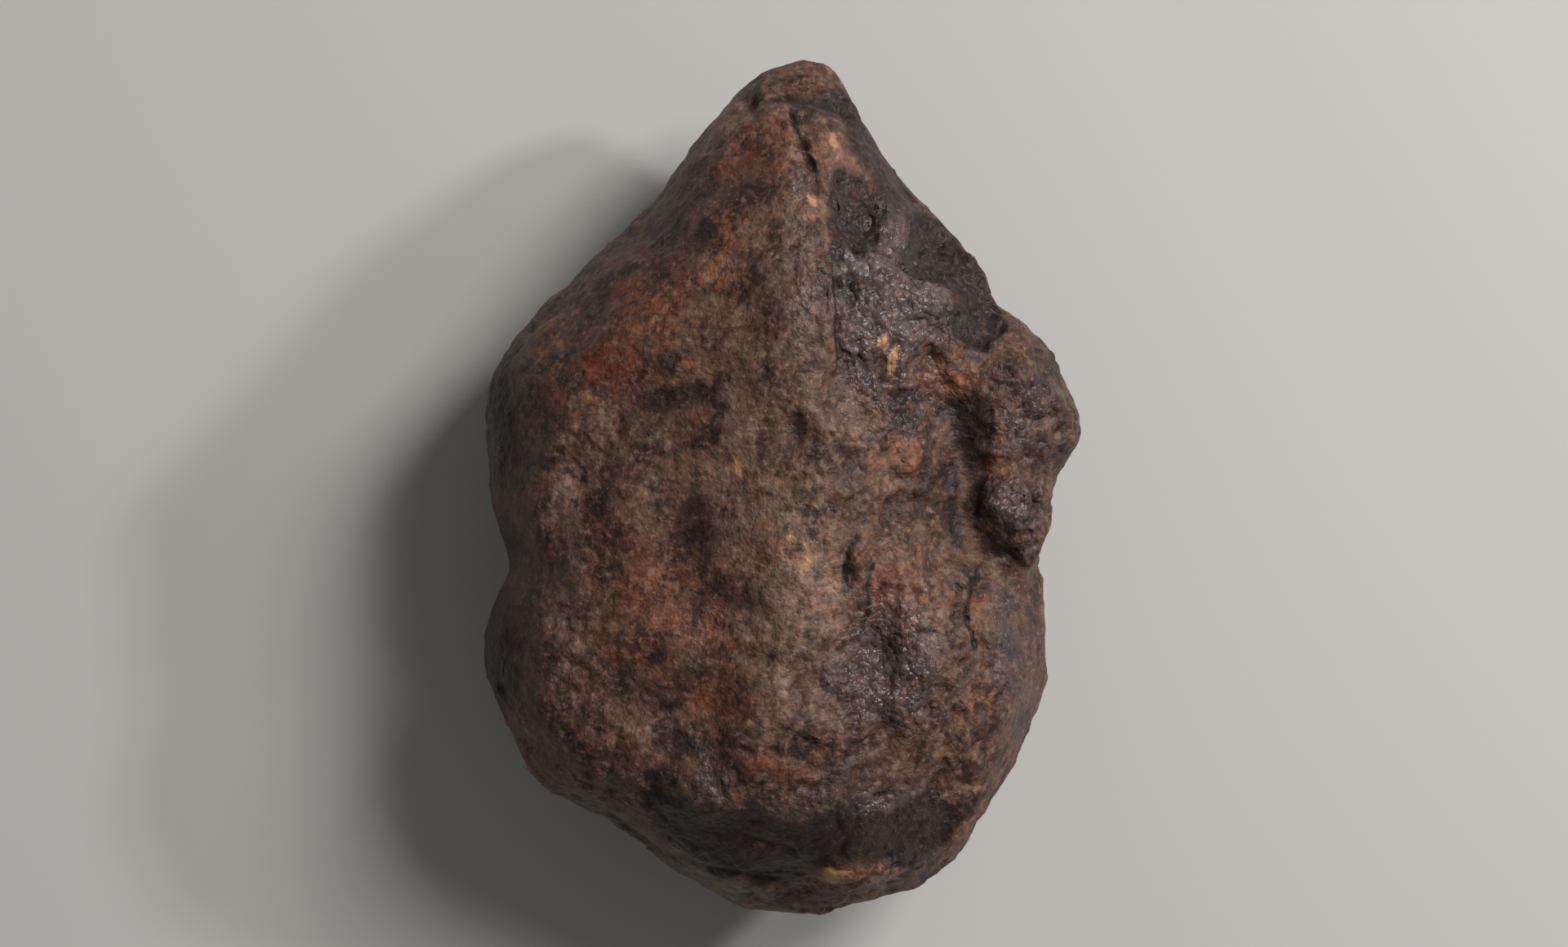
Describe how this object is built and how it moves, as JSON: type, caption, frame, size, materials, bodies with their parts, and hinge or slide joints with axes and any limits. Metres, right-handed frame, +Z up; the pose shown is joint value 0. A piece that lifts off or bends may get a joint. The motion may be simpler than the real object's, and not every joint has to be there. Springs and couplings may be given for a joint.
{
  "type": "eucrite meteorite",
  "caption": "Weathered stony meteorite with a long crest, a hollowed right slope and a knob on its edge, lying on a small flat spot.",
  "frame": {"origin": "on the surface that the stone lies on, under the middle of its box", "axes": "+Y along the stone towards its pointed end, +Z up out of its crested front, +X towards the knob"},
  "size_m": [0.073, 0.1052, 0.0455],
  "materials": {
    "weathered_stone": "weathered dark brown stone with rust and tan flecks, satin on its right slope and dull elsewhere"
  },
  "bodies": {
    "root": {"stone": "weathered_stone"}
  },
  "joints": []
}
